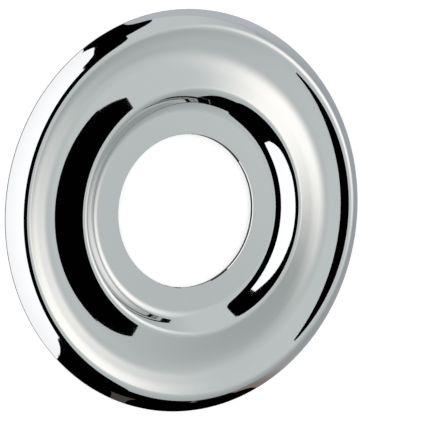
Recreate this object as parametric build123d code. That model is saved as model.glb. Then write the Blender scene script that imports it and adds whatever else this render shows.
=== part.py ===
from build123d import *
import os
from math import radians, tan

# Pipe escutcheon: a round cover plate that slides along a pipe and hides the hole in the wall.
# It is one disc of sheet brass, pressed to shape, pierced in the middle and chrome plated.
# The wall is the plane z = 0, the pipe runs along Z, and the bright front faces +Z.

# Driving dimensions, in millimetres
outer_diameter = 101.6
hole_diameter = 38.7
sheet_thickness = 1.0
wall_gap = 0.65

# Corners of the front face before bending, from the hole outwards; heights are rises or drops
seat_width = 7.2
recess_run = 4.25
ridge_rise = 3.87
dish_drop = 2.84
rim_rise = 1.95
rim_inset = 3.8
flank_inset = 1.1
flank_height = 2.25
edge_land = 0.45

# Where the dish is lowest, as a share of the way from the ridge to the rim
dish_share = 0.55

# Bend radii of the front face, and the bevel that breaks the front edge of the hole
foot_radius = 3.4
ridge_radius = 2.0
dish_radius = 9.6
rim_radius = 2.1
flank_radius = 12.0
hole_bevel = 0.15

# No two bends take more than this share of the straight between them
bend_share = 0.98

# The bevel takes no more than this share of the cut edge
bevel_share = 0.4


def front_corners():
    """Corners of the front face as (radius, height), from the hole to the wall."""
    hole_radius = hole_diameter / 2
    outer_radius = outer_diameter / 2
    seat_radius = hole_radius + seat_width
    seat_height = wall_gap + sheet_thickness
    ridge = (seat_radius + recess_run, seat_height + ridge_rise)
    rim_corner_radius = outer_radius - rim_inset
    dish_width = rim_corner_radius - ridge[0]
    dish = (ridge[0] + dish_share * dish_width, ridge[1] - dish_drop)
    return [
        (hole_radius, seat_height),
        (seat_radius, seat_height),
        ridge,
        dish,
        (rim_corner_radius, dish[1] + rim_rise),
        (outer_radius - flank_inset, flank_height),
        (outer_radius, edge_land),
        (outer_radius, 0),
    ]


def straights_of(points):
    """The straight from each corner to the next."""
    return [end - start for start, end in zip(points, points[1:])]


def turns_of(points):
    """The turn at each inner corner, in radians: a hollow turns left, a ridge turns right."""
    straights = straights_of(points)
    upward = Vector(0, 0, 1)
    return [radians(a.get_signed_angle(b, upward)) for a, b in zip(straights, straights[1:])]


def fitted_radii(points, radii):
    """The bend radii, made smaller where two bends would meet on the straight between them."""
    setbacks = [radius * tan(abs(turn) / 2) for radius, turn in zip(radii, turns_of(points))]
    taken = [a + b for a, b in zip([0] + setbacks, setbacks + [0])]
    rooms = [bend_share * line.length for line in straights_of(points)]
    fits = [room / max(room, used) for room, used in zip(rooms, taken)]
    return [radius * min(a, b) for radius, a, b in zip(radii, fits, fits[1:])]


def back_corners(points):
    """Corners of the back face, one sheet thickness behind the front ones."""
    normals = [line.normalized().rotate(Axis.Z, -90) for line in straights_of(points)]
    pairs = zip([normals[0]] + normals, normals + [normals[-1]])
    shifts = [(a + b) * (sheet_thickness / (1 + a.dot(b))) for a, b in pairs]
    return [point + shift for point, shift in zip(points, shifts)]


def back_line(points, radii):
    """Points of the back face: a ridge is one crease behind, and a hollow two that follow its bend."""
    corners = back_corners(points)
    ways = [line.normalized() for line in straights_of(corners)]
    bends = zip(corners[1:], ways, ways[1:], radii, turns_of(points))
    line = [corners[0]]
    for corner, before, after, radius, turn in bends:
        if turn > 0:
            setback = (radius + sheet_thickness) * (tan(turn / 2) - tan(turn / 4))
            line += [corner - before * setback, corner + after * setback]
        else:
            line.append(corner)
    return line + [corners[-1]]


def sheet_section():
    """Half section of the sheet: the bent front line, thickened towards the wall.

    The last corner is where the flank meets the cut edge, and stays sharp.
    """
    corners = [Vector(*corner) for corner in front_corners()]
    bends = fitted_radii(
        corners,
        [foot_radius, ridge_radius, dish_radius, rim_radius, flank_radius, 0],
    )
    behind = back_line(corners, bends)
    front = FilletPolyline(*corners, radius=bends)
    back = Polyline(behind)
    hole_wall = Line(corners[0], behind[0])
    wall_edge = Line(corners[-1], behind[-1])
    section = make_face([*front.edges(), *back.edges(), hole_wall, wall_edge])
    bevel = min(hole_bevel, bevel_share * sheet_thickness)
    hole_edge = section.vertices().sort_by(Axis.X)[:2].sort_by(Axis.Y)[-1]
    return chamfer(hole_edge, length=bevel)


os.makedirs("parts", exist_ok=True)
escutcheon = revolve(Plane.XZ * sheet_section(), axis=Axis.Z)
export_step(escutcheon, "parts/escutcheon.step")
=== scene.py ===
from math import atan2, ceil, cos, pi, radians, sin, sqrt, tan

import bpy
from mathutils import Matrix, Vector

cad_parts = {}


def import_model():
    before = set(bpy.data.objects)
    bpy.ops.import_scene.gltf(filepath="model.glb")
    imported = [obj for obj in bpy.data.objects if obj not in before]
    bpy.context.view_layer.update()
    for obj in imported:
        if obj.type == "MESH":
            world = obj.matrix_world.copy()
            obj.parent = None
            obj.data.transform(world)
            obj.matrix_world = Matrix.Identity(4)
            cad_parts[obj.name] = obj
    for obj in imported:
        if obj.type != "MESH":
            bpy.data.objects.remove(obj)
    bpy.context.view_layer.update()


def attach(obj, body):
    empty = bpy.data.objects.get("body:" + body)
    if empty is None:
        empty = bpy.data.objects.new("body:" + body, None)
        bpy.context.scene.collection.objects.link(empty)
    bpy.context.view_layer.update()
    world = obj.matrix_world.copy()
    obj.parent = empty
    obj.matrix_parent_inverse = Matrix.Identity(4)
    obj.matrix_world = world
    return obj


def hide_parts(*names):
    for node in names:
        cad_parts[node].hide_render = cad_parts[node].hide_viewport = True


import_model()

# Pipe escutcheon: a round cover plate pressed from sheet brass and plated with bright chrome.
# It lies on a white floor with its front up, and its axis is Z.

# One millimetre, in the scene's metres
MM = 0.001

# Driving dimensions of the plate in millimetres, within a quarter of a millimetre of the CAD model's
outer_diameter = 101.6
hole_diameter = 38.7
sheet_thickness = 1.0
wall_gap = 0.65
seat_width = 7.2
recess_run = 4.25
ridge_rise = 3.87
dish_drop = 2.84
dish_share = 0.54
rim_rise = 2.02
rim_inset = 3.9
flank_inset = 1.1
flank_height = 2.25
edge_land = 0.45
foot_radius = 3.4
ridge_radius = 2.0
dish_radius = 9.6
rim_radius = 2.1
flank_radius = 12.0
hole_bevel = 0.15

# The pressing leaves three straights slightly bowed: how far along each bow is, its height, its radius
wall_share = 0.63
wall_bow = 0.13
wall_radius = 20.0
slope_share = 0.60
slope_bow = -0.22
slope_radius = 24.0
rise_share = 0.64
rise_bow = -0.33
rise_radius = 12.0

# Fineness of the plate's mesh
bend_step = radians(2.4)
round_steps = 360

# Bright chrome of the front: colours, texture scales per metre, roughness, and relief in metres
chrome_dark = (0.77, 0.785, 0.80)
chrome_light = (0.79, 0.795, 0.80)
chrome_clouds = 90
chrome_waves = 160
chrome_lines = 3500
cloud_haze = (0.015, 0.035)
line_haze = (0.0, 0.02)
chrome_line_relief = 1e-7
chrome_wave_relief = 6e-7

# Dull plating of the back, in the same units
satin_dark = (0.52, 0.50, 0.44)
satin_light = (0.64, 0.63, 0.59)
satin_mottle = 220
satin_grain = 5000
satin_lines = 1500
satin_haze = (0.32, 0.48)
satin_grain_relief = 6e-6
satin_line_relief = 8e-6

# Most values of a noise texture lie between these two
noise_low = 0.3
noise_high = 0.7

# Camera: the photo looks at the seat from its left, with a long lens
photo_size = 440
seat_pixel = (185.45, 210.51)
pixels_per_radius = 202.11
camera_distance = 2198.0
camera_lean = radians(29.88)
camera_roll = radians(9.87)
sensor_width = 36.0
clip_far = 100.0

# Studio: cards on a sphere round the plate, as light levels and as places on a round map.
# The map looks straight down on the plate; its centre is overhead and its unit circle is the floor.
studio_radius = 495.0
black_level = (0.0003, 0.0003, 0.0003)

# How far out on the map the cards reach: a little past the floor
card_foot = 1.004

# A card that covers another stands nearer, as a share of the studio's radius
panel_layer = 0.98
strip_layer = 0.96
end_layer = 0.95

# White tent: its strength at the floor and high up, and the height in studio radii where it is full
tent_low_strength = 1.15
tent_high_strength = 1.27
tent_high = 0.6

# Grey panel: its light near the strip and far to the right, its strength at the -Y end, and a soft
# bright spot on it; lengths are in studio radii, and the spot's place is on the map
panel_near_level = (0.631, 0.67, 0.661)
panel_far_level = (0.405, 0.43, 0.424)
panel_near = 0.3
panel_far = 1.0
panel_low_strength = 0.78
panel_low = -0.9
hot_spot_level = (1.27, 1.24, 1.19)
hot_spot_place = (0.63, 0.28)
hot_spot_core = 0.085
hot_spot_reach = 0.60

# Floor cards, which only reflections see: light levels, and lengths in millimetres
# The hole card is painted shade: the floor seen through the hole, grey because the plate round it
# keeps light off.
shaded_hole_level = (0.46, 0.48, 0.48)
# The pale patch card is painted reflection: a dim glowing patch on the floor over the black foot card.
painted_reflection_level = (0.07, 0.065, 0.055)
# The contact card is painted shadow: a thin dark ring on the floor at the plate's foot, where the
# plate shades the floor, seen in reflections.
contact_shadow_level = (0.25, 0.25, 0.26)
contact_shadow_width = 0.35
floor_cards_radius = 520.0
# The under card is painted shade: a black ring on the floor beneath the plate, where the plate keeps
# the light off; it reaches in past the hole's edge.
under_shade_radius = 48.0
hole_shade = 1.2
disc_hole = 0.01

# Their sides, as directions from the plate's axis in degrees: at the plate, and far away
white_turns = ((121.5, 238), (119, 256))
grey_turns = ((-54, 122), (-54, 94))
cap_turns = ((121.2, 135.5), (92.9, 119.3))
foot_turns = ((-124, -53.7), (-104, -53.8))
painted_reflection_turns = ((-103, -98), (-79, -69))
full_turns = ((0, 360), (0, 360))

# Their heights: a card that covers another lies higher
white_lift = 0.02
grey_lift = 0.025
black_lift = 0.03
painted_reflection_lift = 0.035

# White floor: its paint, its own light where it is seen, and half its side in metres
floor_paint = (0.8, 0.8, 0.8)
floor_light = (0.7, 0.7, 0.7)
floor_half = 8.0


def corners_of_front():
    """Corners of the front face as (radius, height), from the hole to the floor, bows included."""
    hole_radius = hole_diameter / 2
    outer_radius = outer_diameter / 2
    seat_height = wall_gap + sheet_thickness
    seat = Vector((hole_radius + seat_width, seat_height))
    ridge = Vector((seat.x + recess_run, seat_height + ridge_rise))
    rim_corner_radius = outer_radius - rim_inset
    dish = Vector((ridge.x + dish_share * (rim_corner_radius - ridge.x), ridge.y - dish_drop))
    rim = Vector((rim_corner_radius, dish.y + rim_rise))
    return [
        Vector((hole_radius, seat_height)),
        seat,
        bowed(seat, ridge, wall_share, wall_bow),
        ridge,
        bowed(ridge, dish, slope_share, slope_bow),
        dish,
        bowed(dish, rim, rise_share, rise_bow),
        rim,
        Vector((outer_radius - flank_inset, flank_height)),
        Vector((outer_radius, edge_land)),
        Vector((outer_radius, 0)),
    ]


def bowed(start, end, share, bow):
    """The corner of a bowed straight: a share of the way along it, moved to its left by the bow."""
    way = (end - start).normalized()
    return start.lerp(end, share) + left_of(way) * bow


def left_of(way):
    """The direction a quarter turn to the left."""
    return Vector((-way.y, way.x))


def directions(points):
    """Unit direction of each straight of a line of points."""
    return [(end - start).normalized() for start, end in zip(points, points[1:])]


def turn_between(before, after):
    """Signed angle from one direction to the next, positive to the left."""
    return atan2(before.cross(after), before.dot(after))


def corners_of_back(points):
    """Corners of the back face, one sheet thickness behind the front ones."""
    normals = [-left_of(way) for way in directions(points)]
    pairs = zip([normals[0]] + normals, normals + [normals[-1]])
    shifts = [(a + b) * (sheet_thickness / (1 + a.dot(b))) for a, b in pairs]
    return [point + shift for point, shift in zip(points, shifts)]


def bent_line(points, radii):
    """A line with its inner corners bent to the radii, as (point, direction) pairs.

    A corner with a radius of 0 stays sharp and has no direction, like the two ends.
    """
    ways = directions(points)
    line = [(points[0], None)]
    for corner, before, after, radius in zip(points[1:], ways, ways[1:], radii):
        if radius == 0:
            line.append((corner, None))
            continue
        turn = turn_between(before, after)
        start = corner - before * (radius * tan(abs(turn) / 2))
        centre = start + left_of(before) * (radius if turn > 0 else -radius)
        steps = ceil(abs(turn) / bend_step)
        for step in range(steps + 1):
            swing = Matrix.Rotation(turn * step / steps, 2)
            line.append((centre + swing @ (start - centre), swing @ before))
    return line + [(points[-1], None)]


def plate_section():
    """The closed section as (front, back): out along the front from the hole, then back behind."""
    front = corners_of_front()
    back = corners_of_back(front)
    radii = [
        foot_radius,
        wall_radius,
        ridge_radius,
        slope_radius,
        dish_radius,
        rise_radius,
        rim_radius,
        flank_radius,
        0,
    ]
    ways = directions(front)
    hollows = [turn_between(before, after) > 0 for before, after in zip(ways, ways[1:])]
    growths = [sheet_thickness if hollow else -sheet_thickness for hollow in hollows]
    back_radii = [max(0, radius + growth) for radius, growth in zip(radii, growths)]
    bevel_foot = front[0] - Vector((0, hole_bevel))
    bevel_top = front[0] + Vector((hole_bevel, 0))
    front_line = [(bevel_foot, None), (bevel_top, None)] + bent_line(front, radii)[1:]
    back_line = [(point, -way if way else None) for point, way in bent_line(back, back_radii)]
    return front_line, back_line[::-1]


def lathe(name, front, back):
    """The section turned round Z, with exact normals; the back has the second material."""
    section = front + back
    points = [point for point, way in section]
    count = len(section)
    sides = []
    for place, (point, way) in enumerate(section):
        next_point, next_way = section[(place + 1) % count]
        straight = (next_point - point).normalized()
        sides.append((left_of(way or straight), left_of(next_way or straight)))
    angles = [2 * pi * step / round_steps for step in range(round_steps)]
    turns = [(cos(angle), sin(angle)) for angle in angles]
    vertices = [(p.x * MM * c, p.x * MM * s, p.y * MM) for c, s in turns for p in points]
    faces = []
    normals = []
    for step in range(round_steps):
        following = (step + 1) % round_steps
        here, there = turns[step], turns[following]
        for place, (start, end) in enumerate(sides):
            after = (place + 1) % count
            row, next_row = step * count, following * count
            faces.append((row + place, row + after, next_row + after, next_row + place))
            for side, (c, s) in ((start, here), (end, here), (end, there), (start, there)):
                normals.append((side.x * c, side.x * s, side.y))
    mesh = bpy.data.meshes.new(name)
    mesh.from_pydata(vertices, [], faces, shade_flat=False)
    behind = [0 if place < len(front) else 1 for place in range(count)]
    mesh.polygons.foreach_set("material_index", behind * round_steps)
    mesh.normals_split_custom_set(normals)
    piece = bpy.data.objects.new(name, mesh)
    bpy.context.scene.collection.objects.link(piece)
    return piece


def new_material(name):
    """An empty node material with its output node."""
    material = bpy.data.materials.new(name)
    material.use_nodes = True
    material.node_tree.nodes.clear()
    output = material.node_tree.nodes.new("ShaderNodeOutputMaterial")
    return material, material.node_tree.nodes, material.node_tree.links, output


def noise(nodes, links, place, scale, detail):
    """A noise texture at a place, and its value."""
    texture = nodes.new("ShaderNodeTexNoise")
    texture.inputs["Scale"].default_value = scale
    texture.inputs["Detail"].default_value = detail
    links.new(place, texture.inputs["Vector"])
    return texture.outputs[0]


def spread(nodes, links, value, low, high):
    """A noise value drawn out to run from low to high."""
    stretch = nodes.new("ShaderNodeMapRange")
    stretch.inputs["From Min"].default_value = noise_low
    stretch.inputs["From Max"].default_value = noise_high
    stretch.inputs["To Min"].default_value = low
    stretch.inputs["To Max"].default_value = high
    links.new(value, stretch.inputs["Value"])
    return stretch.outputs["Result"]


def tint(nodes, links, value, low, high):
    """A colour between two, by a value from 0 to 1."""
    blend = nodes.new("ShaderNodeMix")
    blend.data_type = "RGBA"
    blend.inputs["A"].default_value = (*low, 1)
    blend.inputs["B"].default_value = (*high, 1)
    links.new(value, blend.inputs["Factor"])
    return blend.outputs["Result"]


def lines_place(nodes, links, place, lines_per_metre):
    """A place for noise in fine circular lines round the axis, as buffing on a spindle leaves."""
    flat = nodes.new("ShaderNodeVectorMath")
    flat.operation = "MULTIPLY"
    flat.inputs[1].default_value = (1, 1, 0)
    reach = nodes.new("ShaderNodeVectorMath")
    reach.operation = "LENGTH"
    way = nodes.new("ShaderNodeVectorMath")
    way.operation = "NORMALIZE"
    rise = nodes.new("ShaderNodeCombineXYZ")
    wound = nodes.new("ShaderNodeVectorMath")
    wound.operation = "MULTIPLY_ADD"
    wound.inputs[1].default_value = (0, 0, lines_per_metre)
    links.new(place, flat.inputs[0])
    links.new(flat.outputs["Vector"], reach.inputs[0])
    links.new(flat.outputs["Vector"], way.inputs[0])
    links.new(reach.outputs["Value"], rise.inputs["Z"])
    links.new(rise.outputs["Vector"], wound.inputs[0])
    links.new(way.outputs["Vector"], wound.inputs[2])
    return wound.outputs["Vector"]


def bump(nodes, links, height, distance, normal=None):
    """A bump of a height texture, on top of another one if given."""
    relief = nodes.new("ShaderNodeBump")
    relief.inputs["Strength"].default_value = 1.0
    relief.inputs["Distance"].default_value = distance
    links.new(height, relief.inputs["Height"])
    if normal:
        links.new(normal, relief.inputs["Normal"])
    return relief.outputs["Normal"]


def chrome():
    """Bright chrome: a mirror with faint clouds, fine buffing lines and slight waves."""
    material, nodes, links, output = new_material("bright_chrome")
    place = nodes.new("ShaderNodeTexCoord").outputs["Object"]
    clouds = noise(nodes, links, place, chrome_clouds, detail=3)
    lines = noise(nodes, links, lines_place(nodes, links, place, chrome_lines), scale=1, detail=2)
    waves = noise(nodes, links, place, chrome_waves, detail=0)
    haze = nodes.new("ShaderNodeMath")
    haze.operation = "ADD"
    links.new(spread(nodes, links, clouds, *cloud_haze), haze.inputs[0])
    links.new(spread(nodes, links, lines, *line_haze), haze.inputs[1])
    shader = nodes.new("ShaderNodeBsdfPrincipled")
    shader.inputs["Metallic"].default_value = 1.0
    cloudiness = spread(nodes, links, clouds, 0, 1)
    colour = tint(nodes, links, cloudiness, chrome_dark, chrome_light)
    links.new(colour, shader.inputs["Base Color"])
    links.new(haze.outputs[0], shader.inputs["Roughness"])
    fine = bump(nodes, links, lines, chrome_line_relief)
    links.new(bump(nodes, links, waves, chrome_wave_relief, fine), shader.inputs["Normal"])
    links.new(shader.outputs[0], output.inputs["Surface"])
    return material


def satin():
    """The back: thin, dull plating over the pressed brass, mottled and faintly yellow."""
    material, nodes, links, output = new_material("satin_back")
    place = nodes.new("ShaderNodeTexCoord").outputs["Object"]
    mottle = noise(nodes, links, place, satin_mottle, detail=5)
    grain = noise(nodes, links, place, satin_grain, detail=2)
    lines = noise(nodes, links, lines_place(nodes, links, place, satin_lines), scale=1, detail=3)
    shader = nodes.new("ShaderNodeBsdfPrincipled")
    shader.inputs["Metallic"].default_value = 1.0
    dullness = spread(nodes, links, mottle, 0, 1)
    colour = tint(nodes, links, dullness, satin_dark, satin_light)
    links.new(colour, shader.inputs["Base Color"])
    links.new(spread(nodes, links, mottle, *satin_haze), shader.inputs["Roughness"])
    fine = bump(nodes, links, grain, satin_grain_relief)
    links.new(bump(nodes, links, lines, satin_line_relief, fine), shader.inputs["Normal"])
    links.new(shader.outputs[0], output.inputs["Surface"])
    return material


def glow(name, level):
    """A card that gives off an even light."""
    material, nodes, links, output = new_material(name)
    light = nodes.new("ShaderNodeEmission")
    light.inputs["Color"].default_value = (*level, 1)
    links.new(light.outputs[0], output.inputs["Surface"])
    return material


def tent_glow():
    """The white tent's light, a little dimmer towards the floor."""
    material, nodes, links, output = new_material("tent_glow")
    place = nodes.new("ShaderNodeTexCoord").outputs["Object"]
    split = nodes.new("ShaderNodeSeparateXYZ")
    rise = nodes.new("ShaderNodeMapRange")
    rise.inputs["From Max"].default_value = tent_high * studio_radius * MM
    rise.inputs["To Min"].default_value = tent_low_strength
    rise.inputs["To Max"].default_value = tent_high_strength
    light = nodes.new("ShaderNodeEmission")
    light.inputs["Color"].default_value = (1, 1, 1, 1)
    links.new(place, split.inputs[0])
    links.new(split.outputs["Z"], rise.inputs["Value"])
    links.new(rise.outputs["Result"], light.inputs["Strength"])
    links.new(light.outputs[0], output.inputs["Surface"])
    return material


def panel_glow():
    """The grey panel's light, dimmer to the right and towards -Y, with a soft bright spot."""
    material, nodes, links, output = new_material("panel_glow")
    place = nodes.new("ShaderNodeTexCoord").outputs["Object"]
    split = nodes.new("ShaderNodeSeparateXYZ")
    far = nodes.new("ShaderNodeMapRange")
    far.inputs["From Min"].default_value = panel_near * studio_radius * MM
    far.inputs["From Max"].default_value = panel_far * studio_radius * MM
    low = nodes.new("ShaderNodeMapRange")
    low.inputs["From Min"].default_value = panel_low * studio_radius * MM
    low.inputs["From Max"].default_value = 0.0
    low.inputs["To Min"].default_value = panel_low_strength
    away = nodes.new("ShaderNodeVectorMath")
    away.operation = "DISTANCE"
    away.inputs[1].default_value = studio_point(hot_spot_place, studio_radius)
    fade = nodes.new("ShaderNodeMapRange")
    fade.interpolation_type = "SMOOTHSTEP"
    fade.inputs["From Min"].default_value = hot_spot_reach * studio_radius * MM
    fade.inputs["From Max"].default_value = hot_spot_core * studio_radius * MM
    spot = nodes.new("ShaderNodeMix")
    spot.data_type = "RGBA"
    spot.inputs["B"].default_value = (*hot_spot_level, 1)
    light = nodes.new("ShaderNodeEmission")
    links.new(place, split.inputs[0])
    links.new(split.outputs["X"], far.inputs["Value"])
    links.new(split.outputs["Y"], low.inputs["Value"])
    links.new(low.outputs["Result"], light.inputs["Strength"])
    links.new(place, away.inputs[0])
    links.new(away.outputs["Value"], fade.inputs["Value"])
    fall = tint(nodes, links, far.outputs["Result"], panel_near_level, panel_far_level)
    links.new(fall, spot.inputs["A"])
    links.new(fade.outputs["Result"], spot.inputs["Factor"])
    links.new(spot.outputs["Result"], light.inputs["Color"])
    links.new(light.outputs[0], output.inputs["Surface"])
    return material


def studio_point(place, radius):
    """The point of the studio sphere at a place on the round map, in metres."""
    reach = place[0] ** 2 + place[1] ** 2
    spread_out = sqrt(2 - reach)
    height = wall_gap + sheet_thickness
    way = Vector((place[0] * spread_out, place[1] * spread_out, 1 - reach))
    return (way * radius + Vector((0, 0, height))) * MM


def along(edge, share):
    """The place at a share of the way along a smooth edge through its points."""
    stretch = share * (len(edge) - 1)
    index = min(int(stretch), len(edge) - 2)
    part = stretch - index
    a, b, c, d = [Vector(edge[min(max(index + step, 0), len(edge) - 1)]) for step in (-1, 0, 1, 2)]
    bend = 2 * a - 5 * b + 4 * c - d
    twist = 3 * b - 3 * c + d - a
    return b + (c - a + (bend + twist * part) * part) * (part / 2)


def link_stage(name, points, faces, material):
    """A stage mesh, hidden from the camera."""
    mesh = bpy.data.meshes.new(name)
    mesh.from_pydata(points, [], faces)
    mesh.materials.append(material)
    board = bpy.data.objects.new(name, mesh)
    bpy.context.scene.collection.objects.link(board)
    board.visible_camera = False
    return board


def card(name, edge, other_edge, radius, material, steps=48):
    """A card on the studio sphere between two edges on the round map."""
    shares = [step / steps for step in range(steps + 1)]
    starts = [along(edge, share) for share in shares]
    ends = [along(other_edge, share) for share in shares]
    points = [
        studio_point(start.lerp(end, share), radius)
        for share in shares
        for start, end in zip(starts, ends)
    ]
    row = steps + 1
    faces = [
        (i * row + j, i * row + j + 1, (i + 1) * row + j + 1, (i + 1) * row + j)
        for i in range(steps)
        for j in range(steps)
    ]
    return link_stage(name, points, faces, material)


def arc(start, end, reach, steps=12):
    """Places on the round map along an arc about its centre, between two angles in degrees."""
    angles = [radians(start + (end - start) * step / steps) for step in range(steps + 1)]
    return [(reach * cos(angle), reach * sin(angle)) for angle in angles]


def studio():
    """White tent on the left, grey panel on the right, black cards between, and the floor cards."""
    white = tent_glow()
    black = glow("black_card", black_level)
    strip_left = [
        (-0.385, 0.88),
        (-0.37, 0.80),
        (-0.356, 0.71),
        (-0.44, 0.54),
        (-0.50, 0.32),
        (-0.53, 0.12),
        (-0.49, -0.17),
        (-0.40, -0.43),
        (-0.275, -0.62),
        (-0.24, -0.75),
        (-0.21, -0.97),
    ]
    strip_right = [
        (-0.15, 0.85),
        (-0.09, 0.70),
        (-0.016, 0.50),
        (-0.002, 0.37),
        (0.016, 0.25),
        (0.037, 0.15),
        (0.075, 0.02),
        (0.102, -0.12),
        (0.115, -0.28),
        (0.18, -0.405),
        (0.213, -0.48),
        (0.24, -0.61),
        (0.25, -0.76),
        (0.25, -0.96),
    ]
    cap_low = [
        (-0.469, 0.883),
        (-0.40, 0.872),
        (-0.36, 0.84),
        (-0.25, 0.79),
        (-0.14, 0.81),
        (-0.063, 0.864),
        (0.0, 0.927),
        (0.028, 0.975),
    ]
    cap_foot = arc(118, 88.4, card_foot)
    foot_top = [(-0.23, -0.75), (0.25, -0.755), (0.47, -0.76), (0.60, -0.77), (0.65, -0.76)]
    foot_low = arc(-103.3, -49.5, card_foot)
    panel_left = [(-0.17, 0.98)] + strip_right
    panel_right = arc(100, -75, card_foot)
    card("white_tent", arc(90, 270, card_foot), arc(90, -90, card_foot), studio_radius, white)
    card("grey_panel", panel_left, panel_right, studio_radius * panel_layer, panel_glow())
    card("black_strip", strip_left, strip_right, studio_radius * strip_layer, black)
    card("black_cap", cap_foot, cap_low, studio_radius * end_layer, black)
    card("black_foot", foot_top, foot_low, studio_radius * end_layer, black)

    painted_reflection = glow("painted_reflection_glow", painted_reflection_level)
    contact_shadow = glow("contact_shadow_glow", contact_shadow_level)
    shaded_hole = glow("shaded_hole_glow", shaded_hole_level)
    hole_radius = hole_diameter / 2 - hole_shade
    edge = outer_diameter / 2
    near = edge + contact_shadow_width
    far = floor_cards_radius
    floor_card("floor_white", white_turns, near, far, white_lift, white)
    # Painted shade: the floor on the right as grey light, as if shaded by the plate.
    floor_card("floor_shaded_grey", grey_turns, near, far, grey_lift, shaded_floor_glow())
    floor_card("floor_cap", cap_turns, near, far, black_lift, black)
    floor_card("floor_foot", foot_turns, near, far, black_lift, black)
    # Painted reflection: a dim pale patch over the black foot card.
    floor_card("floor_painted_reflection", painted_reflection_turns, near, far, painted_reflection_lift, painted_reflection)
    # Painted shadow: the thin dark ring on the floor at the plate's foot.
    floor_card("floor_contact_shadow", full_turns, edge, near, black_lift, contact_shadow)
    # Painted shade: the black ring on the floor beneath the plate.
    floor_card("floor_painted_shade_under", full_turns, hole_radius, under_shade_radius, black_lift, black)
    # Painted shade: the grey floor seen through the hole.
    floor_card("floor_shaded_hole", full_turns, disc_hole, hole_radius, black_lift, shaded_hole)


def shaded_floor_glow():
    """The grey light from the floor on the right, by the direction from the plate, in degrees: painted
    shade of the floor there, darker and brownish towards -Y, lighter towards +Y.
    """
    material, nodes, links, output = new_material("shaded_floor_card_glow")
    place = nodes.new("ShaderNodeTexCoord").outputs["Object"]
    angle = nodes.new("ShaderNodeTexGradient")
    angle.gradient_type = "RADIAL"
    ramp = nodes.new("ShaderNodeValToRGB")
    stops = [
        (-55, (0.24, 0.20, 0.18)),
        (-50, (0.24, 0.20, 0.18)),
        (-42, (0.36, 0.36, 0.37)),
        (0, (0.37, 0.39, 0.41)),
        (45, (0.40, 0.42, 0.44)),
        (75, (0.54, 0.57, 0.59)),
        (125, (0.54, 0.57, 0.59)),
    ]
    while len(ramp.color_ramp.elements) < len(stops):
        ramp.color_ramp.elements.new(1.0)
    for element, (degrees, level) in zip(ramp.color_ramp.elements, stops):
        element.position = degrees / 360 + 0.5
        element.color = (*level, 1)
    light = nodes.new("ShaderNodeEmission")
    links.new(place, angle.inputs["Vector"])
    links.new(angle.outputs["Fac"], ramp.inputs["Fac"])
    links.new(ramp.outputs["Color"], light.inputs["Color"])
    links.new(light.outputs[0], output.inputs["Surface"])
    return material


def floor_card(name, turns, near_radius, far_radius, height, material, steps=90):
    """A card on the floor between two radii, with its side directions in degrees at either one."""
    near_turns, far_turns = turns
    near = arc(*near_turns, near_radius, steps)
    far = arc(*far_turns, far_radius, steps)
    points = [(x * MM, y * MM, height * MM) for x, y in near + far]
    faces = [(i, i + 1, steps + 2 + i, steps + 1 + i) for i in range(steps)]
    board = link_stage(name, points, faces, material)
    board.visible_shadow = False
    board.visible_diffuse = False


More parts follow.
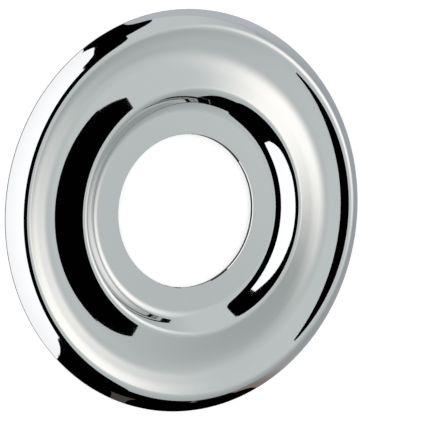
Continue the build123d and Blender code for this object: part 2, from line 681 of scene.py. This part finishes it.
def floor():
    """White floor: its own light where it is seen, and paint that keeps the plate's shadow."""
    material, nodes, links, output = new_material("white_floor")
    path = nodes.new("ShaderNodeLightPath")
    seen = nodes.new("ShaderNodeMath")
    seen.operation = "MAXIMUM"
    seen_through = nodes.new("ShaderNodeMath")
    seen_through.operation = "MAXIMUM"
    light = nodes.new("ShaderNodeEmission")
    light.inputs["Color"].default_value = (*floor_light, 1)
    paint = nodes.new("ShaderNodeBsdfDiffuse")
    paint.inputs["Color"].default_value = (*floor_paint, 1)
    both = nodes.new("ShaderNodeAddShader")
    links.new(path.outputs["Is Camera Ray"], seen.inputs[0])
    links.new(path.outputs["Is Glossy Ray"], seen.inputs[1])
    links.new(seen.outputs[0], seen_through.inputs[0])
    links.new(path.outputs["Is Transmission Ray"], seen_through.inputs[1])
    links.new(seen_through.outputs[0], light.inputs["Strength"])
    links.new(paint.outputs[0], both.inputs[0])
    links.new(light.outputs[0], both.inputs[1])
    links.new(both.outputs[0], output.inputs["Surface"])
    half = floor_half
    corners = [(-half, -half, 0), (half, -half, 0), (half, half, 0), (-half, half, 0)]
    plane = link_stage("floor", corners, [(0, 1, 2, 3)], material)
    plane.visible_camera = True


def world():
    """White behind everything that is seen, and an even light from where no card stands."""
    sky = bpy.data.worlds.new("studio_world")
    sky.use_nodes = True
    background = sky.node_tree.nodes["Background"]
    background.inputs["Color"].default_value = (1, 1, 1, 1)
    background.inputs["Strength"].default_value = 1.0
    bpy.context.scene.world = sky


def camera():
    """The camera at the photo's viewing angle, placed from the seat and turned to frame the plate."""
    seat = Vector((0, 0, wall_gap + sheet_thickness)) * MM
    back = Vector((-sin(camera_lean), 0, cos(camera_lean)))
    across = Vector((cos(camera_lean), 0, sin(camera_lean)))
    upward = Vector((0, 1, 0))
    right = across * cos(camera_roll) + upward * sin(camera_roll)
    up = upward * cos(camera_roll) - across * sin(camera_roll)
    middle = (photo_size - 1) / 2
    pixel = outer_diameter / 2 / pixels_per_radius * MM
    to_right = (middle - seat_pixel[0]) * pixel
    to_foot = (middle - seat_pixel[1]) * pixel
    aim = seat + right * to_right - up * to_foot
    eye = seat + back * (camera_distance * MM)
    view_back = (eye - aim).normalized()
    view_right = up.cross(view_back).normalized()
    view_up = view_back.cross(view_right)
    data = bpy.data.cameras.new("photo_camera")
    data.sensor_width = sensor_width
    focal_pixels = pixels_per_radius * camera_distance / (outer_diameter / 2)
    data.lens = sensor_width * focal_pixels / photo_size
    data.clip_end = clip_far
    lens = bpy.data.objects.new("photo_camera", data)
    lens.matrix_world = Matrix((view_right, view_up, view_back)).transposed().to_4x4()
    lens.location = eye
    bpy.context.scene.collection.objects.link(lens)
    bpy.context.scene.camera = lens


plate = lathe("escutcheon_plate", *plate_section())
plate.data.materials.append(chrome())
plate.data.materials.append(satin())
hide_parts("escutcheon")
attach(plate, "root")

studio()
floor()
world()
camera()
bpy.context.scene.view_settings.view_transform = "Standard"
